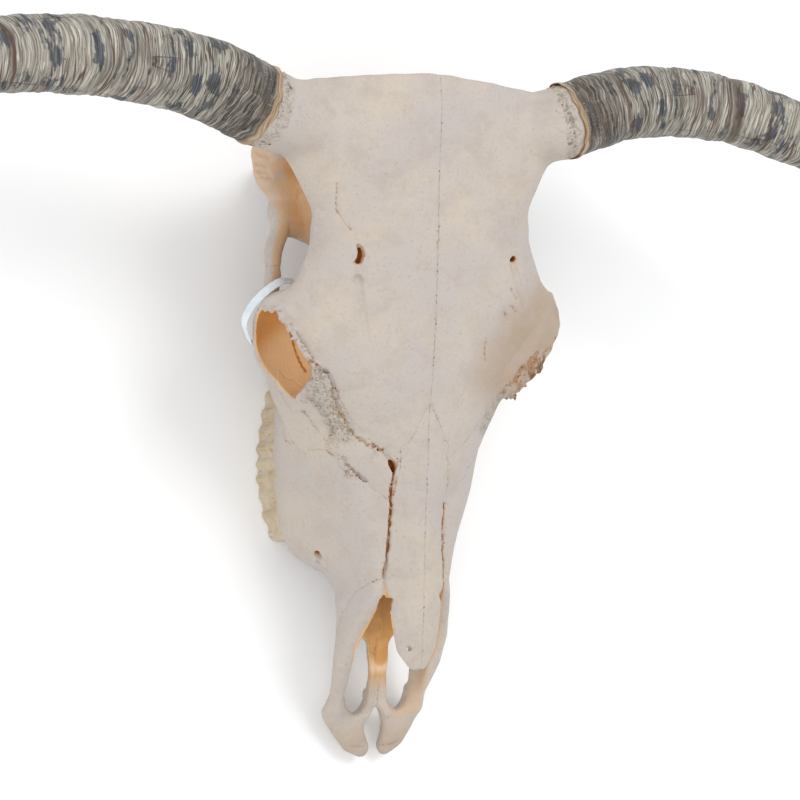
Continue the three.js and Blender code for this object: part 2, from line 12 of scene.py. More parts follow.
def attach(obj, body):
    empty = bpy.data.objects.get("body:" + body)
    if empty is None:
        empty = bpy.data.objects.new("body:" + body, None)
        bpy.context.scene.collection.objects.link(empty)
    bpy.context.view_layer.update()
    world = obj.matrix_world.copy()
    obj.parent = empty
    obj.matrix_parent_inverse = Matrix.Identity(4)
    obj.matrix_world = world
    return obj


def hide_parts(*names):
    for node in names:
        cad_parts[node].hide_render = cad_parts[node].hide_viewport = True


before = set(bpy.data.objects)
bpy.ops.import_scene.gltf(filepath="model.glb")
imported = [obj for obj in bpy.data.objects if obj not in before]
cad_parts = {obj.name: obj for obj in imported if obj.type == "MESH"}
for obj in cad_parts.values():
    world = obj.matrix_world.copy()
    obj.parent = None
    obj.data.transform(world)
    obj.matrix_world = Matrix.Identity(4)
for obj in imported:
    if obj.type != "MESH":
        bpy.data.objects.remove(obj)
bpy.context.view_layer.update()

# Lengths below are in millimetres, from the muzzle's tip: X to the cow's left, Y to the back, Z up.
START = np.array((12.994, -255.155, 0.0))  # the muzzle's tip, from the frame's origin
STEP = 1.2  # between the points of the bone field
BAND = 6  # points on each side of a surface where its distance is kept
FAR = STEP * BAND
GROUND = 0.05  # nothing reaches lower
GAP = -0.6  # half the open joint between two bones; below nought they overlap a little
random = np.random.default_rng(41)

BONES = [
    bone + side
    for bone in ("nasal", "lacrimal", "premaxilla", "zygomatic", "temporal", "frontal", "maxilla")
    for side in ("_right", "_left")
] + ["occipital", "braincase"]
RIGHT, LEFT = -1, 1


# ---------------- camera and lamps

def unit(ways):
    """Directions made one long."""
    return ways / np.linalg.norm(ways, axis=-1, keepdims=True)


def turned(position, right, up, back):
    """The matrix that puts a camera or lamp at a position, in millimetres from the muzzle's tip."""
    place = (np.array(position) + START) / 1000
    return Matrix([*zip(right, up, back, place), (0, 0, 0, 1)])


def add_camera():
    """Puts up the scene's camera."""
    camera = bpy.data.objects.new("camera", bpy.data.cameras.new("camera"))
    camera.data.lens = 93.03
    camera.data.sensor_width = 36
    camera.data.clip_start = 0.01
    camera.matrix_world = turned(
        (-694.4, 173.7, 1437.5),
        (0.8868, -0.0763, 0.4557),
        (0.0405, 0.9953, 0.0877),
        (-0.4603, -0.0593, 0.8858),
    )
    bpy.context.scene.collection.objects.link(camera)
    bpy.context.scene.camera = camera


def add_lamp(name, place, size, watts, colour):
    """A soft square lamp, at a place in metres, that faces the skull."""
    data = bpy.data.lights.new(name, "AREA")
    data.shape = "SQUARE"
    data.size = size
    data.energy = watts
    data.color = colour
    lamp = bpy.data.objects.new(name, data)
    place = np.array(place, float)
    back = unit(place - (0, 0, 0.1))
    right = unit(np.cross((0, 0, 1), back))
    lamp.matrix_world = turned(place * 1000 - START, right, np.cross(back, right), back)
    bpy.context.scene.collection.objects.link(lamp)


add_camera()


# ---------------- the bone field

def rows(items, name, kind=np.float32):
    """One setting of every item in a mesh's list, with three values to a row."""
    values = np.empty(len(items) * 3, kind)
    items.foreach_get(name, values)
    return values.reshape(-1, 3)


def mesh_arrays(obj):
    """Corner points in millimetres from the muzzle's tip, and triangles, with doubles merged."""
    mesh = obj.data
    mesh.calc_loop_triangles()
    points, places = np.unique(rows(mesh.vertices, "co").round(6), axis=0, return_inverse=True)
    triangles = places.ravel()[rows(mesh.loop_triangles, "vertices", np.int32)]
    return points * 1000.0 - START, triangles.astype(np.uint32)


def running_mean(values, half):
    """Each value averaged with this many neighbours on both sides of it, along the first axis."""
    total = np.cumsum(np.pad(values, ((half + 1, half), (0, 0), (0, 0)), mode="edge"), axis=0)
    return (total[2 * half + 1:] - total[: -2 * half - 1]) / np.float32(2 * half + 1)


class Field:
    """A block of values on points STEP apart."""

    def __init__(self, low, high):
        self.base = np.floor(np.array(low) / STEP).astype(int)
        self.shape = np.ceil(np.array(high) / STEP).astype(int) - self.base + 1

    def filled(self, value):
        return np.full(self.shape, value, np.float32)

    def window(self, low, high):
        """The slices that cover a box, and the coordinates of their points."""
        first = np.clip(np.floor(np.array(low) / STEP).astype(int) - self.base, 0, self.shape - 1)
        last = np.clip(np.ceil(np.array(high) / STEP).astype(int) - self.base + 1, first + 1, self.shape)
        spans = tuple(slice(a, b) for a, b in zip(first, last))
        axes = [(self.base[k] + np.arange(first[k], last[k])) * np.float32(STEP) for k in range(3)]
        return spans, np.ix_(*axes)

    def axis(self, k):
        return (self.base[k] + np.arange(self.shape[k])) * STEP

    def noise(self, cell, seed):
        """Smooth noise whose bumps are about a cell across, between about -1 and 1."""
        at = [self.axis(k) / cell for k in range(3)]
        low = [int(np.floor(a[0])) - 1 for a in at]
        count = [int(np.floor(a[-1])) + 3 - n for a, n in zip(at, low)]
        lattice = np.random.default_rng(seed).standard_normal(count).astype(np.float32)
        lattice *= np.float32(1.6)
        for k in range(3):
            corner = np.floor(at[k]).astype(int) - 1
            spread = 0
            for tap in range(4):
                away = np.abs(at[k] - corner - tap)
                middle, edge = 2 / 3 - away**2 + away**3 / 2, np.clip(2 - away, 0, None) ** 3 / 6
                spline = np.where(away < 1, middle, edge)
                spread = spread + spline.astype(np.float32)[:, None, None] * lattice[corner + tap - low[k]]
            lattice = np.moveaxis(spread, 0, 2)
        return np.ascontiguousarray(lattice)

    def blurred(self, values, width):
        """The values averaged over a bell curve of this width, by three running means along each axis."""
        half = max(1, round(math.sqrt(0.25 + (width / STEP) ** 2) - 0.5))
        for k in range(3):
            values = np.moveaxis(values, k, 0)
            for _ in range(3):
                values = running_mean(values, half)
            values = np.moveaxis(values, 0, k)
        return np.ascontiguousarray(values)

    def sample(self, values, points):
        """The values at points between the field's own points."""
        at = np.clip(points / STEP - self.base, 0, np.array(self.shape) - 1.001)
        low = at.astype(int)
        part = (at - low).astype(np.float32)
        total = 0
        for corner in np.ndindex(2, 2, 2):
            weight = np.prod(np.where(corner, part, 1 - part), axis=1)
            total = total + weight * values[tuple((low + corner).T)]
        return total


def smooth_step(low, high, values):
    """Rises from nought at low to one at high."""
    t = np.clip((values - low) / (high - low), 0, 1)
    return t * t * (3 - 2 * t)


def joined(a, b, blend):
    """Two distances as one body, with a fillet."""
    h = np.clip(0.5 + 0.5 * (b - a) / blend, 0, 1)
    return b + (a - b) * h - blend * h * (1 - h)


def hollowed(a, b, blend):
    """A distance with another taken out of it."""
    return -joined(-a, b, blend)


space = Field((-166, -12, -6), (166, 498, 210))


def from_line(a, b, reach):
    """Near a line from a to b: the field's slices, how far along the line each point is, and how far off."""
    spans, (x, y, z) = space.window(np.minimum(a, b) - reach, np.maximum(a, b) + reach)
    x, y, z = x - a[0], y - a[1], z - a[2]
    line = b - a
    along = np.clip((x * line[0] + y * line[1] + z * line[2]) / max(float(line @ line), 1e-6), 0, 1)
    away = np.sqrt((x - along * line[0]) ** 2 + (y - along * line[1]) ** 2 + (z - along * line[2]) ** 2)
    return spans, along, away


def carve(values, path, widths, blend=0.6, add=False):
    """Takes a tube along a path out of the bone, or adds it."""
    path = np.array(path, float)
    widths = np.broadcast_to(widths, len(path))
    if len(path) == 1:
        path, widths = np.repeat(path, 2, 0), np.repeat(widths, 2)
    combined = joined if add else hollowed
    for a, b, first_width, last_width in zip(path[:-1], path[1:], widths[:-1], widths[1:]):
        spans, along, away = from_line(a, b, max(first_width, last_width) + 2 * STEP + blend)
        tube = away - (first_width + (last_width - first_width) * along)
        values[spans] = combined(values[spans], tube, blend)


def near(values, path):
    """Lowers the values to their distance from a path, where that is less."""
    path = np.array(path, float)
    for a, b in zip(path[:-1], path[1:]):
        spans, _, away = from_line(a, b, FAR)
        values[spans] = np.minimum(values[spans], away)


def onto(path, side=RIGHT):
    """A path given for the cow's left, on one side."""
    return [(side * x, y, z) for x, y, z in path]


def between(path, count):
    """A path with evenly spaced points."""
    path = np.array(path, float)
    along = np.concatenate(([0], np.cumsum(np.linalg.norm(np.diff(path, axis=0), axis=1))))
    at = np.linspace(0, along[-1], count)
    return np.stack([np.interp(at, along, path[:, k]) for k in range(3)], 1)


def top_at(values, place, reach, step):
    """The bone's upper face over or under a place, if there is one within reach."""
    column = place + np.arange(reach, -reach, -step)[:, None] * (0, 0, 1)
    inside = np.nonzero(space.sample(values, column) < 0)[0]
    return column[inside[0]] if len(inside) else None


def drop(values, path, depth=0.0):
    """A path moved up or down onto the bone, seen from above, then sunk by a depth."""
    tops = [(place, top_at(values, place, 9, 0.3)) for place in np.array(path, float)]
    return np.array([place if top is None else top for place, top in tops]) - (0, 0, depth)


def surface_of(values):
    """The points, triangles and four-cornered faces of the surface where the values are nought."""
    grid = vdb.FloatGrid(FAR)
    grid.copyFromArray(values, ijk=(0, 0, 0))
    return grid.convertToPolygons(0.0, 0.0)


def level_set(points, scale, **faces):
    """Distances from a surface, on a grid of this scale."""
    transform = vdb.createLinearTransform(scale)
    points = points.astype(np.float64)
    return vdb.FloatGrid.createLevelSetFromPolygons(points, transform=transform, halfWidth=BAND, **faces)


def measured(values):
    """The same surface with true distances on both sides of it."""
    points, triangles, quads = surface_of(np.clip(values, -FAR, FAR))
    out = np.where(values < 0, np.float32(-BAND), np.float32(BAND))
    level_set(points, 1.0, triangles=triangles, quads=quads).copyToArray(out, ijk=(0, 0, 0))
    return out * np.float32(STEP)


def solid_distances(name):
    """One packed bone's distances, on the slices of the field that it reaches."""
    points, triangles = mesh_arrays(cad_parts[name])
    spans, _ = space.window(points.min(0) - FAR, points.max(0) + FAR)
    out = np.empty([s.stop - s.start for s in spans], np.float32)
    corner = tuple(int(base + span.start) for base, span in zip(space.base, spans))
    level_set(points, STEP, triangles=triangles).copyToArray(out, ijk=corner)
    return spans, out


def parting_noise():
    """How far the joints between the bones wander: little on the midline, much at the brow's saw teeth."""
    x = space.axis(0)[:, None, None]
    y = space.axis(1)[None, :, None]
    aside = smooth_step(5, 16, np.abs(x))
    toothed = smooth_step(195, 215, y) * (1 - smooth_step(330, 350, y))
    return np.broadcast_to(0.3 + aside * (0.35 + 1.1 * toothed), space.shape).astype(np.float32)


def gather_bones():
    """The whole skull's distances, and for each point the nearest bone and how near the two nearest are."""
    whole = space.filled(FAR)
    first = space.filled(FAR)
    second = space.filled(FAR)
    owner = np.full(space.shape, -1, np.int8)
    wander = parting_noise()
    parts = {}
    for number, name in enumerate(BONES):
        spans, solid = solid_distances(name)
        whole[spans] = np.minimum(whole[spans], solid)
        noise = fine_wander if number % 2 else coarse_wander
        shifted = solid + wander[spans] * noise[spans] * (1 if number % 4 < 2 else -1)
        parts[name] = (spans, shifted)
        nearer = shifted < first[spans]
        second[spans] = np.where(nearer, first[spans], np.minimum(second[spans], shifted))
        first[spans] = np.where(nearer, shifted, first[spans])
        owner[spans] = np.where(nearer, number, owner[spans])
    return whole, first, second, owner, parts


def rounded(whole):
    """The solids' flat faces made round: broadly where the bone is thick, lightly on thin plates and rims."""
    whole = whole - 0.2
    depth = space.blurred((whole < 0).astype(np.float32), 8.0)
    thick = smooth_step(0.34, 0.46, depth)
    thick = np.minimum(thick, space.blurred(thick, 12.0))
    edge = smooth_step(0.20, 0.30, depth)
    fine = space.blurred(whole, 1.5)
    middling = space.blurred(whole, 3.2)
    broad = space.blurred(whole, 5.0)
    fine = fine + (middling - fine) * edge
    return measured(fine + (broad - fine) * thick)


coarse_wander = space.noise(4.2, 3) + 0.7 * space.noise(2.4, 4)
fine_wander = space.noise(3.6, 5) + 0.7 * space.noise(2.2, 6)
whole, first, second, owner, parts = gather_bones()
skull = rounded(whole)
skull += space.noise(22.0, 7) * 0.45 + space.noise(8.0, 8) * 0.16 + space.noise(3.4, 9) * 0.07


# ---------------- eye sockets and temples

SOCKET_MIDDLE = (90.6, 303.6, 114.8)
SOCKET_AXES = (  # long, short and outward
    (0.490, 0.662, 0.564), (0.534, 0.279, -0.791), (0.686, -0.694, 0.219),
)
SOCKET_SIZE = (40.0, 22.5, 33.0)
SOCKET_WALL = 3.6
BROW_EDGE = {
    RIGHT: (
        (-117, 328, 137), (-113, 327.5, 143), (-110, 324, 146), (-108, 318, 148),
        (-105, 312, 149), (-101, 305, 150), (-96, 297, 150), (-90, 290, 146),
        (-84, 285, 143), (-80, 281, 140), (-79, 276, 134),
    ),
    LEFT: (
        (110, 297, 138), (107, 292, 138), (98, 278, 138),
        (89.5, 272.5, 137), (80, 263.5, 135), (73, 257.5, 131),
    ),
}
BROW_TRIM = ((-101, 284, 148), (-104, 291, 149), (-109, 299, 148), (-113, 307, 146), (-116, 314, 143))
LEFT_BROW = (
    (
        (105, 331, 143), (110.5, 320, 141), (111.5, 311, 139.5), (109.5, 304, 138.5), (104, 294.5, 138.5),
        (95.5, 281, 138.5), (87, 275.5, 137.5), (78, 267, 135), (72, 262, 131),
    ), (
        (99, 330, 145), (104, 320, 144), (105, 311.5, 143), (103, 306, 142.5), (98, 298, 142.5),
        (90, 286, 142), (83, 280, 140.5), (74, 272, 138), (69, 266, 134),
    ), (
        (93, 328, 146.5), (97, 320, 146), (98.5, 312, 146), (96, 308, 145.5), (92, 301, 145.5),
        (84, 291, 145), (77, 285, 143.5), (69, 277, 140.5), (66, 270, 137),
    ),
)
LEFT_TRIM = ((104, 352, 148), (112, 341.5, 145), (119, 333, 142), (123, 322, 140))
SOCKET_FURROW = (
    (-83, 324, 97), (-79.5, 317, 92), (-77, 311, 89), (-74.5, 304, 87), (-71.5, 296, 86), (-68, 288, 87.5),
)
TEMPLE_FLOOR = (
    ((58, 404, 84), (72, 414, 88), (87, 426, 93)),
    ((58, 393, 83), (70, 398, 86), (80, 404, 89)),
    ((66, 420, 92), (84, 436, 95)),
)
HORN_ROOT = {RIGHT: ((-84, 449, 166), (-127, 460.7, 176.8)), LEFT: ((84, 449, 166), (112, 455.7, 174.8))}


def socket_place(side, x, y, z):
    """A place's distances along the socket's three axes, from its middle."""
    x, y, z = x * side - SOCKET_MIDDLE[0], y - SOCKET_MIDDLE[1], z - SOCKET_MIDDLE[2]
    return [a[0] * x + a[1] * y + a[2] * z for a in SOCKET_AXES]


def socket_distance(place, grow):
    """How far a place is outside the socket's hollow, or outside its wall when it is grown."""
    sizes = [size + grow for size in SOCKET_SIZE]
    near_one = np.sqrt(sum((c / size) ** 2 for c, size in zip(place, sizes)))
    slope = np.sqrt(sum((c / size**2) ** 2 for c, size in zip(place, sizes)))
    return near_one * (near_one - 1) / np.maximum(slope, 1e-4)


def build_socket(side):
    """Gives the socket a thin closed wall behind its rim, a smooth hollow and a sharp brow edge."""
    low, high = sorted((side * 40, side * 132))
    spans, (x, y, z) = space.window((low, 255, 70), (high, 352, 160))
    place = socket_place(side, x, y, z)
    wall = np.maximum(socket_distance(place, SOCKET_WALL), place[2] - 3)
    values = joined(skull[spans], wall, 4.0)
    skull[spans] = hollowed(values, socket_distance(place, 0.0), 1.2)
    if side == RIGHT:
        carve(skull, BROW_TRIM, (7, 8, 8, 7, 4.5), 1.0)
    else:
        for row in LEFT_BROW:
            carve(skull, row, 3.9, 6.0, add=True)
        carve(skull, LEFT_TRIM, (6, 7.5, 7, 5), 2.0)


def build_temple(side):
    """Fills the smooth floor between the cheek arch's root and the braincase."""
    for path in TEMPLE_FLOOR:
        carve(skull, onto(path, side), 8.5, 6.0, add=True)


for side in (RIGHT, LEFT):
    carve(skull, HORN_ROOT[side], (21, 26), 7.0, add=True)
    build_temple(side)
    build_socket(side)


# ---------------- teeth

TOOTH_LOBES = (  # for each lobe: its middle along the row, half its length and half its width
    (173.5, 6.6, 7.6), (187.5, 7.5, 8.6), (202.5, 7.8, 9.6), (215.2, 5.8, 10.4), (225.8, 5.6, 10.2),
    (237.2, 6.6, 11.0), (249.8, 6.7, 10.6), (262.6, 7.0, 10.4), (275.6, 6.6, 8.6),
)
ROW_OUTER = ((160, 62.5), (168, 66), (188, 71.5), (214, 74.5), (240, 72), (262, 66.5), (284, 60))
GUM_HEIGHT = 22.5
TOOTH_TOP = 34  # inside the jaw
TOOTH_LEAN = 0.06
TOOTH_SQUARENESS = 2.3


def grow_teeth(teeth, side):
    """A row of lobed teeth with ribbed cheek sides and worn hollows, leaning a little outwards."""
    for y, half_long, half_wide in TOOTH_LOBES:
        middle = float(np.interp(y, *zip(*ROW_OUTER))) - half_wide
        spans, (px, py, pz) = space.window(
            (side * middle - 16, y - 14, -5), (side * middle + 16, y + 14, 40))
        out = np.abs((side * px - middle + TOOTH_LEAN * (pz - 10)) / half_wide)
        along = np.abs((py - y) / half_long)
        size = (out**TOOTH_SQUARENESS + along**TOOTH_SQUARENESS) ** (1 / TOOTH_SQUARENESS)
        teeth[spans] = joined(teeth[spans], (size - 1.04) * half_long, 0.5)
        rib = middle + half_wide - 0.6
        carve(teeth, [(side * (rib - 0.4), y, 0), (side * (rib - 3.2), y, TOOTH_TOP)], 1.6, 1.4, add=True)
        end = y + half_long
        carve(teeth, [(side * (rib + 0.6), end, -2), (side * (rib - 2.6), end, TOOTH_TOP)], 1.7, 0.8)
        for x, reach, width in ((middle - 2.5, 0.5, 1.9), (middle + 3.5, 0.55, 1.7)):
            worn = [(side * x, y - half_long * reach, -0.5), (side * x, y + half_long * reach, -0.5)]
            carve(teeth, worn, width)
    spans, (x, y, z) = space.window((-90, 150, -6), (90, 296, 42))
    middle = np.interp(y.ravel(), *zip(*ROW_OUTER)) - 9.0
    across = np.abs(side * x - middle[None, :, None] + TOOTH_LEAN * (z - 10))
    row = np.maximum(across - 7.6, np.abs(y - 225) - 54)
    teeth[spans] = joined(teeth[spans], row.astype(np.float32), 1.0)
    teeth[spans] = np.maximum(teeth[spans], np.maximum(GROUND - z, z - TOOTH_TOP))


teeth = space.filled(FAR)
for side in (RIGHT, LEFT):
    grow_teeth(teeth, side)
    inner, outer = sorted((side * 36, side * 84))
    spans, (x, y, z) = space.window((inner, 150, -6), (outer, 292, 40))
    skull[spans] = np.maximum(skull[spans], GUM_HEIGHT + 1.2 * np.sin(y * 0.5) - z + 0 * x)


# ---------------- carving

lines = space.filled(FAR)  # distance from the cracks and other thin stained lines
porous = space.filled(0.0)  # where the bone is spongy


def bead_rim(side):
    """The small knobs and notches along the brow's saw-toothed edge over the eye."""
    rim = between(BROW_EDGE[side], 74 if side == RIGHT else 46)
    for place in rim:
        spot = place + random.normal(0, 0.7, 3) - (0, 0, 1.2)
        carve(skull, [spot, spot + random.normal(0, 0.8, 3)], random.uniform(0.9, 1.6), 0.5, add=True)
    for place in rim[3:-3:2]:
        spot = place + random.normal(0, 1.0, 3)
        carve(skull, [spot + (side * 3, -2, 0), spot - (side * 1.5, 0, 0)], random.uniform(0.5, 0.8), 0.3)


def burr(side):
    """The pitted, knobbly ring of bone where the horn's sheath begins."""
    back, front = np.array(HORN_ROOT[side], float)
    way = unit(front - back)
    aside = unit(np.cross(way, (0, 0, 1)))
    upright = np.cross(aside, way)
    spans, (x, y, z) = space.window(front - 34, front + 34)
    behind = -((x - front[0]) * way[0] + (y - front[1]) * way[1] + (z - front[2]) * way[2])
    porous[spans] = np.maximum(porous[spans], 0.8 * smooth_step(9, 2, behind) * smooth_step(-6, -2, behind))
    for _ in range(420):
        angle = random.uniform(0, 2 * np.pi)
        out = aside * np.cos(angle) + upright * np.sin(angle)
        spot = front - way * abs(random.normal(0, 4.5)) + out * random.uniform(25.2, 27.0)
        carve(skull, [spot], random.uniform(0.5, 1.3), 0.4, add=random.random() < 0.4)


def sponge(path, reach, pits):
    """Fine pits over the bone around a path."""
    path = between(path, 40)
    for _ in range(pits):
        spot = path[random.integers(len(path))] + random.normal(0, reach * 0.55, 3)
        top = top_at(skull, spot, 7, 0.4)
        if top is not None:
            carve(skull, [top], random.uniform(0.5, 1.0) * 0.8, 0.3)
    for a, b in zip(path[:-1], path[1:]):
        spans, (x, y, z) = space.window(np.minimum(a, b) - reach * 2, np.maximum(a, b) + reach * 2)
        away = np.sqrt((x - a[0]) ** 2 + (y - a[1]) ** 2 + (z - a[2]) ** 2)
        porous[spans] = np.maximum(porous[spans], 1 - smooth_step(reach * 0.7, reach * 1.5, away))


def groove(path, width, depth, stained=False):
    """A shallow furrow that lies on the bone's upper face."""
    laid = drop(skull, between(path, max(4, len(path) * 3)), depth - width)
    carve(skull, laid, width, 0.5)
    if stained:
        near(lines, drop(skull, laid))


def hole(place, direction, width, depth):
    """A small blood-vessel hole that runs into the bone."""
    place = np.array(place, float)
    way = unit(np.array(direction, float))
    path = [place - way * 2, place + way * depth * 0.4, place + way * depth]
    carve(skull, path, (width, width, width * 0.7), 0.7)


def slit(path, count, deep):
    """A ragged open crack, as deep as told, that is stained along its lips."""
    top = drop(skull, between(path, count))
    for pair in zip(top[:-1], top[1:]):
        width = random.uniform(0.55, 1.05)
        shift = random.normal(0, 0.3)
        for depth in np.arange(-1.5, deep, 1.0):
            carve(skull, np.array(pair) + (shift, 0, -depth), width, 0.2)
    near(lines, top)


def sunk(path, widths, depths, blend):
    """An opening cut straight down along a path on the bone, at several depths."""
    for depth in depths:
        carve(skull, drop(skull, path, depth), widths, blend)


def crumbled_joint(path):
    """A ragged, stained crack between lips of small beads."""
    length = np.linalg.norm(np.diff(np.array(path, float), axis=0), axis=1).sum()
    count = int(length / 1.5) + 2
    ragged = between(path, count) + random.normal(0, 0.75, (count, 3)) * (1, 1, 0)
    top = drop(skull, ragged)
    for spot in top:
        bead = spot + random.normal(0, 1.5, 3) * (1, 1, 0)
        carve(skull, [bead - (0, 0, 0.5)], random.uniform(0.8, 1.6), 0.4, add=True)
    for pair in zip(top[:-1], top[1:]):
        width = random.uniform(0.4, 1.05)
        for depth in (0, 1.5):
            carve(skull, np.array(pair) - (0, 0, depth), width, 0.3)
    near(lines, top)


for side in (RIGHT, LEFT):
    bead_rim(side)
    burr(side)
    hole((side * 56, 149, 56), (-side * 0.35, 1, 0.1), 3.0, 20)
    hole((side * 54, 145, 51), (-side * 0.35, 1, 0.2), 1.7, 12)
    hole((side * 62, 170, 33), (-side, 0.5, 0.4), 1.2, 7)
    hole((side * 66, 192, 36), (-side, 0.3, 0.2), 1.0, 6)

# The brow's nerve holes, with the furrows that run forward from them.
CRESCENT = ((-60.5, 367, 174), (-58, 364, 174), (-57.5, 360, 173), (-59, 356, 172), (-62, 355, 171))
SMALL_CRESCENT = ((-61, 346, 169), (-59, 343.5, 169), (-60, 340, 168))
carve(skull, drop(skull, CRESCENT, 1.4), (1.2, 2.1, 2.5, 2.2, 1.3), 0.4)
for depth in (4.0, 6.0):
    carve(skull, drop(whole, CRESCENT[1:4], depth), 1.6, 0.4)
near(lines, drop(whole, CRESCENT, 2.0))
carve(skull, drop(skull, SMALL_CRESCENT, 1.0), (1.0, 1.3, 0.7), 0.3)
near(lines, drop(whole, SMALL_CRESCENT, 1.0))
groove(((-60, 343, 168), (-58, 330, 166), (-55, 316, 163), (-52, 302, 159)), 3.6, 1.0)
hole((66, 355, 170), (0, 0.4, -1), 2.3, 10)
groove(((66, 354, 168), (69, 344, 166), (73, 335, 163), (77, 325, 160)), 4.4, 1.2)
for path, width, depth in (
    (((68, 350, 167), (72, 343, 165), (76, 335, 163)), 1.6, 1.0),
    (((63, 336, 166), (66, 331, 165), (70, 328, 163)), 0.8, 0.8),
    (((63, 323, 163), (66, 322.5, 163), (69, 319, 161)), 0.9, 1.0),
    (((52, 329, 166), (56, 322, 164), (60, 314, 161)), 1.3, 0.7),
    (((58, 319, 163), (62, 313, 160)), 0.8, 0.8),
    (((43, 300, 159), (42, 291, 157), (44, 284, 155)), 0.9, 0.6),
):
    groove(path, width, depth, stained=width < 1)

# A line over the right temple, the muzzle's ledges and the furrow between its prongs.
groove((
    (-75, 409, 177), (-74.5, 398, 173), (-74, 391, 171), (-71, 387, 171), (-68, 381, 172), (-64, 377, 172),
), 0.7, 0.5, stained=True)
groove(((-21, 9, 17), (-15, 8, 18), (-8, 7.5, 17)), 0.8, 0.9, stained=True)
groove(((5, 7, 14), (9, 6.5, 16), (14, 7, 17), (20, 8.5, 17)), 0.8, 0.9, stained=True)
groove(((-4, 44, 28), (-4, 60, 33), (-5, 74, 37), (-4, 90, 42)), 1.1, 1.2)

# The open slits beside the nasal bones, the pit at their upper corner, and the hole and notch at the tips.
slit((
    (-23, 212, 129), (-23, 198, 124), (-22.5, 188, 121), (-22.5, 176, 117),
    (-22.5, 160, 112), (-23, 147, 108), (-24.5, 136, 105),
), 30, 3)
slit(((20, 186, 121), (20, 166, 116), (22, 145, 108), (24, 126, 100), (26, 110, 93)), 22, 3)
sunk(((-24.5, 136, 105), (-24, 126, 102), (-22.5, 114, 99)), (0.5, 1.8, 3.6), (0, 4, 8), 0.5)
sunk(
    ((-31, 224, 131), (-27, 220, 132), (-23.5, 215, 132), (-22.5, 209, 129)),
    (0.6, 1.6, 2.7, 1.0), (0.5, 2.5, 4.5), 0.3,
)
carve(skull, [(0.5, 60, 100), (0.5, 78, 107)], (2.2, 0.7), 0.4)
hole((-8.5, 83, 106), (0, 0, -1), 1.5, 12)

# The lacrimal bone's joints, and the crust between them.
crumbled_joint((
    (-83, 286, 143), (-75, 280, 142), (-69, 267, 137), (-59, 250, 129),
    (-51, 239, 127), (-44, 233, 129), (-32, 227, 132),
))
crumbled_joint((
    (-86, 269, 123), (-79, 263, 122), (-71, 256, 123), (-66, 248, 121), (-63, 240, 118), (-63, 234, 110),
))
crumbled_joint(((-63, 230, 107), (-57, 225, 114), (-49, 215, 114), (-40, 206, 119)))
CRUST = ((87, 280, 136), (79, 273, 133), (71, 261, 128), (65, 249, 124), (59, 239, 122))
FOLDS = (  # at the root of the cheek's arch
    ((99, 443, 100), (96, 441, 103), (93, 438, 106)), ((99, 438, 97), (96, 436, 99), (93, 434, 102)),
    ((98, 433, 93), (95, 431, 96), (92, 430, 98)), ((96, 428, 92), (93, 427, 94), (90, 427, 95)),
)
for side in (RIGHT, LEFT):
    sponge(onto(CRUST, side), 8, 22)
for side in (RIGHT, LEFT):
    for fold in FOLDS:
        groove(onto(fold, side), 1.3, 1.2, stained=True)

skull += porous * (space.noise(2.4, 15) * 0.42 + space.noise(4.6, 16) * 0.35)


# ---------------- the pieces of bone

bone_only = skull
skull = joined(skull, teeth, 0.8)
spans, (x, y, z) = space.window((-170, -20, -8), (170, 500, 6))
skull[spans] = np.maximum(skull[spans], GROUND - z + 0 * x + 0 * y)
occupied = (skull < 0).astype(np.float32)
closed_near = space.blurred(occupied, 4.5)
closed_far = space.blurred(occupied, 13.0)

NOSE_PATH = ((0, 80, 66), (-4, 100, 82), (-6, 118, 88), (0, 140, 88), (0, 170, 92))
PALATE_PATH = ((0, 92, 58), (0, 116, 60), (0, 150, 66))
DUSKY_BROW = ((66, 282, 148), (84, 300, 150), (100, 312, 146))
LIP_PATH = ((22, 34, 36), (21, 48, 42), (20, 62, 50))
VOMER_PATH = ((0, 40, 30), (0, 62, 38), (0, 100, 50), (0, 140, 60), (0, 180, 68))
ARCH_ROOT = ((94, 438, 98), (96, 430, 92), (92, 425, 90))
TEMPLE_PATH = ((78, 350, 116), (74, 376, 112), (76, 402, 106), (84, 420, 102))


def seen_from(points, normals, path, reach):
    """How much each point is on the wall round a path: near it, and facing it."""
    best = np.full(len(points), 1e9)
    facing = np.zeros(len(points))
    for spot in between(path, 14):
        way = spot - points
        away = np.linalg.norm(way, axis=1)
        closer = away < best
        best = np.where(closer, away, best)
        facing = np.where(closer, (way * normals).sum(1) / np.maximum(away, 1e-3), facing)
    return smooth_step(reach + 5, reach - 3, best) * smooth_step(-0.05, 0.4, facing)


def dusky(points):
    """Where the bone is greyer and browner: low on the left brow and at the muzzle's end."""
    brow = smooth_step(46, 12, distance_to(points, DUSKY_BROW))
    muzzle = smooth_step(34, 8, np.hypot(points[:, 1] - 4, points[:, 2] - 12))
    return np.maximum(brow, 0.7 * muzzle)


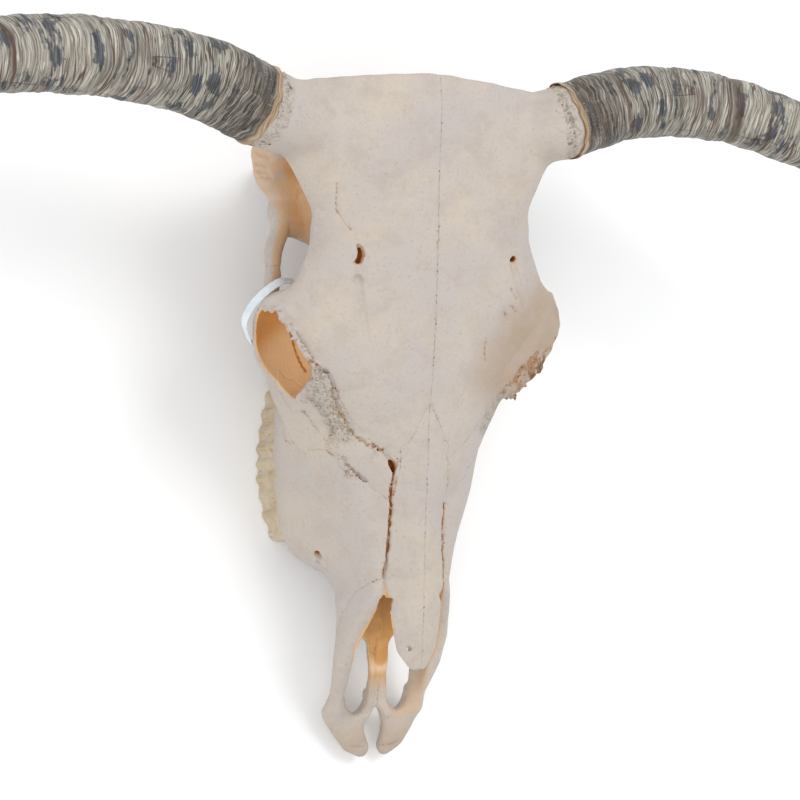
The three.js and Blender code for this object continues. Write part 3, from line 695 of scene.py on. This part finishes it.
def stained_walls(points, normals):
    """How deeply the walls of the nose, sockets and temples are stained, with painted shade in the sockets,
    whose stain runs deeper toward their tops and paler toward their lower fronts; more than one is darkest.
    """
    x, y, z = points.T
    apex = smooth_step(94, 102, y) * smooth_step(134, 126, y)
    apex = apex * smooth_step(-26, -24, x) * smooth_step(-10, -14, x) * smooth_step(102, 100, z)
    stains = [
        seen_from(points, normals, NOSE_PATH, 34),
        seen_from(points, normals, PALATE_PATH, 24),
        smooth_step(15, 9, distance_to(points, VOMER_PATH)) * smooth_step(36, 84, y),
        apex * smooth_step(0.3, 0.6, -normals[:, 0]),
        0.30 * seen_from(points, normals, LIP_PATH, 16),
    ]
    for side in (RIGHT, LEFT):
        place = socket_place(side, x, y, z)
        inside = smooth_step(2.4, 0.8, socket_distance(place, 0.0)) * smooth_step(22, 15, place[2])
        # Painted shade: the socket's stain is made deeper toward its upper back, under the brow, and paler
        # toward its lower front.
        inside = inside * (1.06 - 0.34 * smooth_step(16, -24, place[0]))
        facing = (-(points - np.array(SOCKET_MIDDLE) * (side, 1, 1)) * normals).sum(1)
        under = 1 if side == RIGHT else smooth_step(138, 132, z)
        stains += [
            0.40 * seen_from(points, normals, onto(TEMPLE_PATH, side), 27),
            0.36 * smooth_step(22, 10, distance_to(points, onto(ARCH_ROOT, side))),
            1.45 * smooth_step(1.9, 0.7, distance_to(points, onto(SOCKET_FURROW, -side))),
            under * inside * smooth_step(-2.0, 4.0, facing),
        ]
    return np.max(stains, axis=0)


def distance_to(points, path):
    """How far each point is from a path."""
    return np.min([np.linalg.norm(points - spot, axis=1) for spot in between(path, 24)], axis=0)


def store(mesh, **layers):
    """Keeps a number for each of a mesh's points, for its finish to read."""
    for name, values in layers.items():
        layer = mesh.attributes.new(name, "FLOAT", "POINT")
        layer.data.foreach_set("value", np.asarray(values, np.float32))


def plain_mesh(name, points, faces):
    """An object from points in millimetres from the muzzle's tip, and faces of three or four corners."""
    mesh = bpy.data.meshes.new(name)
    counts = np.concatenate([np.full(len(f), f.shape[1]) for f in faces if len(f)])
    corners = np.concatenate([f.ravel() for f in faces if len(f)]).astype(np.int32)
    mesh.vertices.add(len(points))
    mesh.vertices.foreach_set("co", ((points + START) / 1000).astype(np.float32).ravel())
    mesh.loops.add(len(corners))
    mesh.loops.foreach_set("vertex_index", corners)
    mesh.polygons.add(len(counts))
    mesh.polygons.foreach_set("loop_start", np.concatenate(([0], np.cumsum(counts)[:-1])).astype(np.int32))
    mesh.update(calc_edges=True)
    mesh.validate()
    mesh.polygons.foreach_set("use_smooth", np.ones(len(mesh.polygons), bool))
    obj = bpy.data.objects.new(name, mesh)
    bpy.context.scene.collection.objects.link(obj)
    return obj


def bone_piece(number, name):
    """One bone's piece of the skull, with what its finish has to know at each point."""
    spans, own = parts[name]
    rival = np.where(owner[spans] == number, second[spans], first[spans])
    region = (own - rival) * 0.5 + GAP
    values = np.pad(np.maximum(skull[spans], region), 1, constant_values=FAR)
    points, triangles, quads = surface_of(values)
    low = np.array([space.base[k] + spans[k].start - 1 for k in range(3)])
    obj = plain_mesh(name.replace("_", "_bone_"), (points + low) * STEP, [triangles, quads])
    mesh = obj.data
    points = rows(mesh.vertices, "co") * 1000 - START
    normals = rows(mesh.vertex_normals, "vector")
    outside_tooth = space.sample(teeth, points) - space.sample(bone_only, points)
    store(
        mesh,
        hollow=smooth_step(0.24, 0.46, space.sample(closed_far, points + normals * 10)),
        pit=smooth_step(0.36, 0.60, space.sample(closed_near, points + normals * 3)),
        stain=stained_walls(points, normals),
        dusky=dusky(points),
        seam=space.sample(second, points) - space.sample(first, points),
        line=space.sample(lines, points),
        porous=space.sample(porous, points),
        tooth=smooth_step(0.7, -0.7, outside_tooth),
    )
    return obj


pieces = {name: bone_piece(number, name) for number, name in enumerate(BONES)}


# ---------------- horn sheaths

HORN_RADII = (29, 27.6, 26.4, 25, 24, 22.4, 19.2, 14.5, 8.5, 1.2)
HORN_PATHS = {
    "right": (
        (-128, 461, 177), (-172, 478, 182), (-246, 486, 195), (-317, 481, 211),
        (-386, 462, 231), (-446, 430, 256), (-490, 388, 288), (-514, 344, 326),
    ),
    "left": (
        (113, 456, 175), (170, 470, 180), (240, 466, 190), (306, 443, 203),
        (368, 410, 222), (424, 370, 248), (465, 325, 280), (488, 280, 318),
    ),
}
CORE_PATH = ((104, 455, 172), (126, 460, 176), (152, 469, 179), (160, 472, 180))
CORE_ROOM = (26.4, 26.0, 20.5, 8.0)
AROUND = 112  # points to a ring
TURN = np.linspace(0, 2 * np.pi, AROUND, endpoint=False)[None, :]
COS, SIN = np.cos(TURN)[..., None], np.sin(TURN)[..., None]


def curved(path, count):
    """Evenly spaced points on a smooth curve through a path."""
    path = np.array(path, float)
    ends = np.vstack((2 * path[0] - path[1], path, 2 * path[-1] - path[-2]))
    knots = np.concatenate(([0], np.cumsum(np.linalg.norm(np.diff(ends, axis=0), axis=1) ** 0.5)))
    dense = []
    for k in range(1, len(ends) - 2):
        t = np.linspace(knots[k], knots[k + 1], 60, endpoint=k == len(ends) - 3)[:, None]
        p, s = ends[k - 1:k + 3], knots[k - 1:k + 3]
        for reach in (1, 2):
            p = [
                ((s[i + reach] - t) * p[i] + (t - s[i]) * p[i + 1]) / (s[i + reach] - s[i])
                for i in range(4 - reach)
            ]
        dense.append(((s[2] - t) * p[0] + (t - s[1]) * p[1]) / (s[2] - s[1]))
    return between(np.vstack(dense), count)


def frames(path, side):
    """Two directions across a path at each of its points, without twist, from a first one."""
    along = unit(np.gradient(path, axis=0))
    across = np.empty_like(path)
    for k, way in enumerate(along):
        side = unit(side - way * (side @ way))
        across[k] = side
    return across, np.cross(across, along)


def tube_rings(path, radius, across, up):
    """Rings of points round a path."""
    return path[:, None] + radius[..., None] * (across[:, None] * COS + up[:, None] * SIN)


def horn_relief(s, seed, length):
    """How far the sheath's surface stands out: fine growth rings that wander, and a few deep ones."""
    source = np.random.default_rng(seed)
    waves = ((1, 2.6), (2, 1.2), (3, 0.8), (7, 0.25))
    wander = sum(tall * np.sin(k * TURN + source.uniform(0, 6.3)) for k, tall in waves)
    s = s + wander * smooth_step(0, 26, s)
    relief = 0
    for cell, tall in ((2.7, 0.17), (6.0, 0.30), (14.0, 0.32)):
        knots = source.standard_normal(int(length / cell) + 8)
        at = np.clip(s / cell + 2, 0, len(knots) - 1.001)
        low = at.astype(int)
        part = smooth_step(0, 1, at - low)
        relief = relief + tall * (knots[low] * (1 - part) + knots[low + 1] * part)
    for place in (96, 108, 121, 133, 150, 166):
        off = s - place - source.uniform(-3, 3)
        relief = relief - 0.6 * np.exp(-off**2) + 0.3 * np.exp(-((off - 2.2) ** 2) / 2)
    fading = 0.35 + 0.65 * (1 - smooth_step(length * 0.45, length * 0.85, s))
    return relief * fading * smooth_step(-1, 5, s)


def ring_faces(count, first):
    """Faces between this many rings, and the two fans that close their ends; the ends' points come last."""
    start = np.arange(count - 1)[:, None] * AROUND
    ring = np.arange(AROUND)
    following = (ring + 1) % AROUND
    a, b = start + ring, start + following
    quads = np.stack((a, b, b + AROUND, a + AROUND), -1).reshape(-1, 4)
    near_end = np.stack((np.full(AROUND, first), following, ring), 1)
    last = (count - 1) * AROUND
    far_end = np.stack((np.full(AROUND, first + 1), last + ring, last + following), 1)
    return [quads, near_end, far_end]


def horn_sheath(name, seed, rings=600):
    """A ringed sheath round the horn's core, with a hollow mouth and a closed tip."""
    side = RIGHT if name == "right" else LEFT
    path = curved(HORN_PATHS[name], rings)
    across, up = frames(path, np.cross(unit(np.gradient(path, axis=0))[0], (0, 0, 1.0)))
    along = np.concatenate(([0], np.cumsum(np.linalg.norm(np.diff(path, axis=0), axis=1))))
    length = along[-1]
    radius = np.interp(along / length * 9, np.arange(10), HORN_RADII)
    radius = np.convolve(np.pad(radius, 20, mode="edge"), np.ones(41) / 41, "valid")
    radius[-20:] = np.interp(along[-20:], along[-21:][[0, -1]], (radius[-21], 0.6))
    s = along[:, None]
    relief = horn_relief(s, seed, length)
    lip = 0.5 * np.exp(-((s - 1.5) / 2.2) ** 2) - 0.7 * np.exp(-((s - 7) / 4.0) ** 2)
    waves = ((2, 1.1, 0.4), (5, 0.7, 2.0), (11, 0.45, 1.0), (17, 0.3, 3.0))
    ragged = sum(tall * np.sin(k * TURN + start) for k, tall, start in waves) * np.exp(-s / 7.0)
    oval = radius[:, None] * (1 + 0.012 * np.sin(2 * TURN + 0.6)) - 0.9
    outer = tube_rings(path, oval + relief + lip, across, up)
    outer = outer + ragged[..., None] * unit(np.gradient(path, axis=0))[:, None]

    core = curved(onto(CORE_PATH, side), 24)
    room = np.interp(np.linspace(0, 1, 24) * 3, np.arange(4), CORE_ROOM)
    inner = tube_rings(core, room[:, None] + 0 * TURN, *frames(core, across[0]))[::-1]
    inner = inner[(core[::-1] - path[0]) @ unit(path[4] - path[0]) > 1.5]
    bottom = core[-1] + side * np.array((4.0, 1, 0))
    points = np.concatenate((inner.reshape(-1, 3), outer.reshape(-1, 3), [bottom], [path[-1]]))
    count = len(inner) + rings
    obj = plain_mesh("horn_sheath_" + name, points, ring_faces(count, count * AROUND))
    point_all_outwards(obj)

    def spread(inside, outside, bottom_value=0, tip_value=0):
        """A value for each of the mesh's points."""
        inside = np.broadcast_to(inside, (len(inner), AROUND)).ravel()
        outside = np.broadcast_to(outside, (rings, AROUND)).ravel()
        return np.concatenate((inside, outside, (bottom_value, tip_value)))

    store(
        obj.data,
        along=spread(-6.0, s, -6, length),
        round_x=spread(np.cos(TURN) * 26.0, np.cos(TURN) * radius[:, None]),
        round_y=spread(np.sin(TURN) * 26.0, np.sin(TURN) * radius[:, None]),
        relief=spread(0, relief),
    )
    return obj


def point_all_outwards(obj):
    """Turns the faces of a closed mesh outwards."""
    work = bmesh.new()
    work.from_mesh(obj.data)
    bmesh.ops.recalc_face_normals(work, faces=work.faces)
    work.to_mesh(obj.data)
    work.free()


horns = {name: horn_sheath(name, seed) for name, seed in (("right", 12), ("left", 21))}


# ---------------- the bare label strip

STRIP_WIDTH = 6.0
STRIP_THICK = 0.35
STRIP_PATH = (
    (-83, 350, 113), (-97, 349, 120), (-112, 340, 121), (-121, 330, 117), (-122, 322, 109),
    (-116, 314, 99), (-108, 311, 84), (-101, 312, 70), (-94, 312.5, 66),
)
STRIP_UPRIGHT = (0.42, -0.75, 0.51)


def label_strip(rings=140, across=8):
    """A stiff paper band bent round the socket's outside, with its edges a little curled."""
    path = curved(STRIP_PATH, rings)
    ahead = unit(np.gradient(path, axis=0))
    out = unit(np.cross(STRIP_UPRIGHT, ahead))
    upright = np.cross(ahead, out)
    wide = np.linspace(-0.5, 0.5, across + 1)[None, :, None]
    curl = (wide * 2) ** 2 * 0.12
    middle = path[:, None] + upright[:, None] * wide * STRIP_WIDTH - out[:, None] * curl
    half = out[:, None] * STRIP_THICK / 2
    row = across + 1
    size = rings * row  # points in each of the two sheets
    corner = (np.arange(rings - 1)[:, None] * row + np.arange(across)[None, :]).ravel()
    faces = [np.stack((k, k + row, k + row + 1, k + 1), -1) for k in (corner, corner + size)]
    long_edge = np.arange(rings - 1) * row
    faces += [np.stack((k, k + size, k + size + row, k + row), -1) for k in (long_edge, long_edge + across)]
    end = np.arange(across)
    faces += [np.stack((k, k + size, k + size + 1, k + 1), -1) for k in (end, end + size - row)]
    points = np.concatenate((middle + half, middle - half)).reshape(-1, 3)
    obj = plain_mesh("label_band", points, faces)
    point_all_outwards(obj)
    return obj


strip = label_strip()


# ---------------- finishes

class Value:
    """A shader value that can be used in a sum."""

    def __init__(self, finish, socket):
        self.finish = finish
        self.socket = socket

    def maths(self, operation, *others):
        sockets = dict(enumerate((self, *others)))
        return self.finish.node("ShaderNodeMath", {"operation": operation}, sockets)

    def __add__(self, other):
        return self.maths("ADD", other)

    def __mul__(self, other):
        return self.maths("MULTIPLY", other)

    def __sub__(self, other):
        return self.maths("SUBTRACT", other)

    def __rsub__(self, other):
        return (self * -1) + other

    __radd__ = __add__
    __rmul__ = __mul__

    def at_least(self, other):
        return self.maths("MAXIMUM", other)

    def at_most(self, other):
        return self.maths("MINIMUM", other)

    def absolute(self):
        return self.maths("ABSOLUTE")

    def step(self, low, high, start=0.0, end=1.0):
        """Rises smoothly from start at low to end at high."""
        sockets = {"Value": self, "From Min": low, "From Max": high, "To Min": start, "To Max": end}
        return self.finish.node("ShaderNodeMapRange", {"interpolation_type": "SMOOTHSTEP"}, sockets)


class Finish:
    """A material under construction."""

    def __init__(self, name):
        self.material = bpy.data.materials.new(name)
        self.material.use_nodes = True
        self.nodes = self.material.node_tree.nodes
        self.links = self.material.node_tree.links
        self.shader = self.nodes["Principled BSDF"]

    def node(self, kind, settings=None, sockets=None, output=0):
        node = self.nodes.new(kind)
        for name, value in (settings or {}).items():
            setattr(node, name, value)
        self.feed(node, sockets or {})
        return Value(self, node.outputs[output])

    def feed(self, node, sockets):
        for name, value in sockets.items():
            if isinstance(value, Value):
                self.links.new(value.socket, node.inputs[name])
            else:
                node.inputs[name].default_value = value

    def object_place(self):
        return self.node("ShaderNodeTexCoord", output="Object")

    def attribute(self, name):
        return self.node("ShaderNodeAttribute", {"attribute_name": name}, output="Fac")

    def noise(self, place, scale, detail=3.0, rough=0.55):
        sockets = {"Vector": place, "Scale": scale, "Detail": detail, "Roughness": rough}
        return self.node("ShaderNodeTexNoise", None, sockets, "Fac")

    def cells(self, place, scale):
        """The distance to the nearest of many scattered points."""
        return self.node("ShaderNodeTexVoronoi", None, {"Vector": place, "Scale": scale}, "Distance")

    def stretched(self, place, scale):
        return self.node("ShaderNodeMapping", None, {"Vector": place, "Scale": scale})

    def vector(self, x, y, z):
        return self.node("ShaderNodeCombineXYZ", None, {0: x, 1: y, 2: z})

    def mix(self, part, *colours):
        """The second colour over the first; a plain colour is as it shows on screen, from 0 to 255."""
        first, second = (c if isinstance(c, Value) else on_screen(c) for c in colours)
        return self.node("ShaderNodeMix", {"data_type": "RGBA"}, {0: part, 6: first, 7: second}, 2)

    def laid(self, base, *layers):
        """A colour with layers over it, each of them a share and a colour."""
        for share, layer in layers:
            base = self.mix(share, base, layer)
        return base

    def bump(self, height, distance, strength):
        sockets = {"Height": height, "Distance": distance, "Strength": strength}
        return self.node("ShaderNodeBump", None, sockets)

    def done(self, colour, roughness, normal=None):
        self.feed(self.shader, {"Base Color": colour, "Roughness": roughness})
        if normal is not None:
            self.feed(self.shader, {"Normal": normal})
        return self.material


def on_screen(colour):
    """The shader's own colour for one that shows as this on screen."""
    return (*(((c / 255 + 0.055) / 1.055) ** 2.4 for c in colour), 1.0)


def bone_finish():
    """Dry bone: pinkish grey and cream, orange-brown in its hollows and joints, with yellow teeth."""
    f = Finish("weathered_bone")
    place = f.object_place()
    broad = f.noise(place, 14, 4, 0.6)
    blotch = f.noise(place, 55, 5, 0.65)
    worn = f.noise(place, 160, 3, 0.7)
    speck = f.noise(place, 420, 3, 0.7)
    grain = f.noise(f.stretched(place, (1.0, 0.28, 1.0)), 900, 3, 0.6)
    hollow, pit, stain, seam = map(f.attribute, ("hollow", "pit", "stain", "seam"))
    line, porous, tooth, dim = map(f.attribute, ("line", "porous", "tooth", "dusky"))
    clean = 1 - stain.step(0.1, 0.5)
    walls = (stain.step(0.0, 0.8) * (0.86 + blotch * 0.2)).at_most(1.0)
    seam_ink = seam.absolute().step(1.1, 0.2) * worn.step(0.40, 0.52) * clean
    beside_seam = seam.absolute().step(2.2, 0.7) * worn.step(0.50, 0.58) * clean
    holes = f.cells(place, 420).step(0.40, 0.2) * beside_seam
    pores = f.cells(place, 520).step(0.44, 0.16) * porous * worn.step(0.42, 0.56)
    streaks = f.noise(f.stretched(place, (1, 1, 0.25)), 380, 3)

    # In the eye sockets the stain value also holds painted shade, so this amber runs paler toward their lower
    # fronts.
    amber = f.laid(
        f.mix(broad.step(0.4, 0.62), (224, 174, 106), (208, 150, 76)),
        (blotch.step(0.45, 0.75) * 0.55, (226, 180, 124)),
        (stain.step(1.04, 0.74) * stain.step(0.5, 0.7) * 0.75, (238, 210, 172)),
    )
    enamel = f.laid(
        f.mix(blotch.step(0.35, 0.65), (200, 184, 158), (184, 164, 132)),
        (streaks.step(0.55, 0.7) * 0.7, (164, 132, 90)),
        (pit.step(0.1, 0.8) * 0.8, (128, 92, 48)),
    )
    bone = f.laid(
        f.mix(broad.step(0.35, 0.65), (186, 177, 172), (193, 182, 169)),
        (blotch.step(0.42, 0.70) * 0.6, (176, 164, 157)),
        (speck.step(0.55, 0.72) * 0.5, (164, 146, 126)),
        (f.noise(place, 28, 4, 0.6).step(0.50, 0.70) * 0.25, (206, 190, 168)),
        (dim * (0.45 + blotch * 0.8), (170, 150, 130)),
        (porous * 0.75, f.mix(speck.step(0.4, 0.65), (184, 175, 163), (146, 132, 114))),
        (hollow.step(0.02, 0.7) * 0.5, (206, 174, 134)),
        (walls.at_least(hollow.step(0.5, 1.0) * 0.6), amber),
        # Within the sockets this darker brown shows toward their tops as part of the painted shade; elsewhere
        # it marks the deepest stains.
        (stain.step(1.0, 1.5), (166, 98, 40)),
        (pit.step(0.25, 0.95) * (0.4 + clean * 0.6) * (1 - porous * 0.8), (150, 84, 30)),
        (seam_ink * 0.85, (154, 112, 76)),
        (holes * 0.7, (132, 92, 54)),
        (line.step(1.2, 0.3) * worn.step(0.28, 0.46) * clean * 0.9, (150, 92, 42)),
        (pores * 0.45, (108, 86, 62)),
        (tooth, enamel),
    )
    height = broad * 0.5 + blotch * 0.3 + speck * 0.26 + grain * 0.2
    height = height - pores * 0.4 - holes * 0.3 - seam_ink * 0.1
    return f.done(bone, 0.58 + blotch * 0.18 - tooth * 0.28, f.bump(height, 0.0016, 0.8))


def horn_finish():
    """Dry horn: grey keratin in fine rings, with brown and blue-black patches and a tan rim."""
    f = Finish("weathered_horn")
    along, x, y, relief = map(f.attribute, ("along", "round_x", "round_y", "relief"))

    def skin_noise(across, height, scale, detail, rough):
        """Noise on the sheath's skin, with its width and height scaled."""
        return f.noise(f.vector(x * across, y * across, height), scale, detail, rough)

    level = along + (skin_noise(1, along, 0.03, 2, 0.5) - 0.5) * 12
    bands = skin_noise(0.055, level, 0.42, 4, 0.72)
    fine = skin_noise(0.055, level, 1.1, 2, 0.6)
    threads = (skin_noise(0.055, level, 0.5, 1, 0.4) - 0.5).absolute().step(0.055, 0.015)
    joints = (skin_noise(0.03, level, 0.10, 1, 0.4) - 0.5).absolute().step(0.010, 0.003)
    patch = skin_noise(0.5, along * 0.9, 0.075, 4, 0.62)
    cloud = skin_noise(0.6, along * 0.7, 0.03, 3, 0.6)
    fibre = skin_noise(1.6, along * 0.10, 1.2, 3, 0.7)
    crack = (skin_noise(1, along * 0.03 + level * 0.02, 0.04, 2, 0.4) - 0.5).absolute().step(0.004, 0.001)
    crack = crack * along.step(60, 110)
    base = along.step(62, 14)

    horn = f.laid(
        f.mix(bands.step(0.36, 0.62), (186, 182, 170), (122, 116, 108)),
        (cloud.step(0.42, 0.6) * 0.5, (186, 178, 162)),
        (fine.step(0.48, 0.66) * 0.65, (88, 78, 68)),
        (threads * (0.35 + along.step(130, 50) * 0.6), (64, 46, 33)),
        (
            patch.step(0.53, 0.60) * bands.step(0.28, 0.46) * 0.9,
            f.mix(fine.step(0.4, 0.6), (70, 78, 90), (28, 30, 34)),
        ),
        (patch.step(0.42, 0.34) * fine.step(0.55, 0.4) * 0.6, (218, 212, 200)),
        (joints * along.step(60, 90) * 0.9, (84, 56, 36)),
        (
            base * (0.25 + bands.step(0.3, 0.6) * 0.75),
            f.mix(fine.step(0.35, 0.65), (96, 86, 76), (40, 32, 26)),
        ),
        (relief.step(-0.4, -1.1) * 0.7, (74, 54, 38)),
        (crack * 0.85, (66, 46, 32)),
        (fibre.step(0.58, 0.70) * along.step(64, 10) * 0.5, (206, 198, 184)),
        (along.step(6, 2), f.mix(fine.step(0.3, 0.7), (190, 168, 140), (138, 106, 74))),
        (along.step(0.6, -1.0), (150, 104, 58)),
        (along.step(330, 440) * 0.75, (46, 42, 40)),
    )
    height = bands * 0.4 + fine * 0.3 - threads * 0.5 - joints * 0.5 + fibre * base * 0.2 - crack * 0.8
    return f.done(horn, 0.42 + bands * 0.25, f.bump(height, 0.0009, 0.8))


def paper_finish():
    """Plain pale label paper with a faint fibre."""
    f = Finish("plain_paper")
    place = f.object_place()
    fibre = f.noise(place, 900, 4, 0.7)
    paper = f.mix(f.noise(place, 90, 3, 0.6).step(0.35, 0.7), (226, 233, 238), (210, 220, 228))
    return f.done(paper, 0.7 + fibre * 0.15, f.bump(fibre, 0.0002, 0.5))


def floor_finish():
    """A pale, faintly uneven ground."""
    f = Finish("pale_floor")
    return f.done(f.mix(f.noise(f.object_place(), 30, 3, 0.5) * 0.3, (252, 252, 252), (249, 249, 250)), 0.9)


bone = bone_finish()
horn = horn_finish()
paper = paper_finish()
for name, piece in pieces.items():
    piece.data.materials.append(bone)
    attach(piece, "root")
    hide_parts(name)
for name, piece in horns.items():
    piece.data.materials.append(horn)
    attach(piece, "root")
    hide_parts("horn_" + name)
strip.data.materials.append(paper)
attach(strip, "root")
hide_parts("label_strip")


# ---------------- floor and light

floor = bpy.data.objects.new("floor", bpy.data.meshes.new("floor"))
floor.data.from_pydata([(-8, -8, 0), (8, -8, 0), (8, 8, 0), (-8, 8, 0)], [], [(0, 1, 2, 3)])
floor.data.materials.append(floor_finish())
bpy.context.scene.collection.objects.link(floor)

world = bpy.data.worlds.new("studio")
world.use_nodes = True
world.node_tree.nodes["Background"].inputs["Color"].default_value = (0.97, 0.985, 1.0, 1)
world.node_tree.nodes["Background"].inputs["Strength"].default_value = 0.82
bpy.context.scene.world = world
bpy.context.scene.view_settings.view_transform = "Standard"
add_lamp("key", (1.0, 1.1, 2.6), 1.3, 28, (1.0, 0.985, 0.96))
add_lamp("fill", (-1.7, -0.9, 2.2), 2.2, 20, (1.0, 0.99, 0.98))
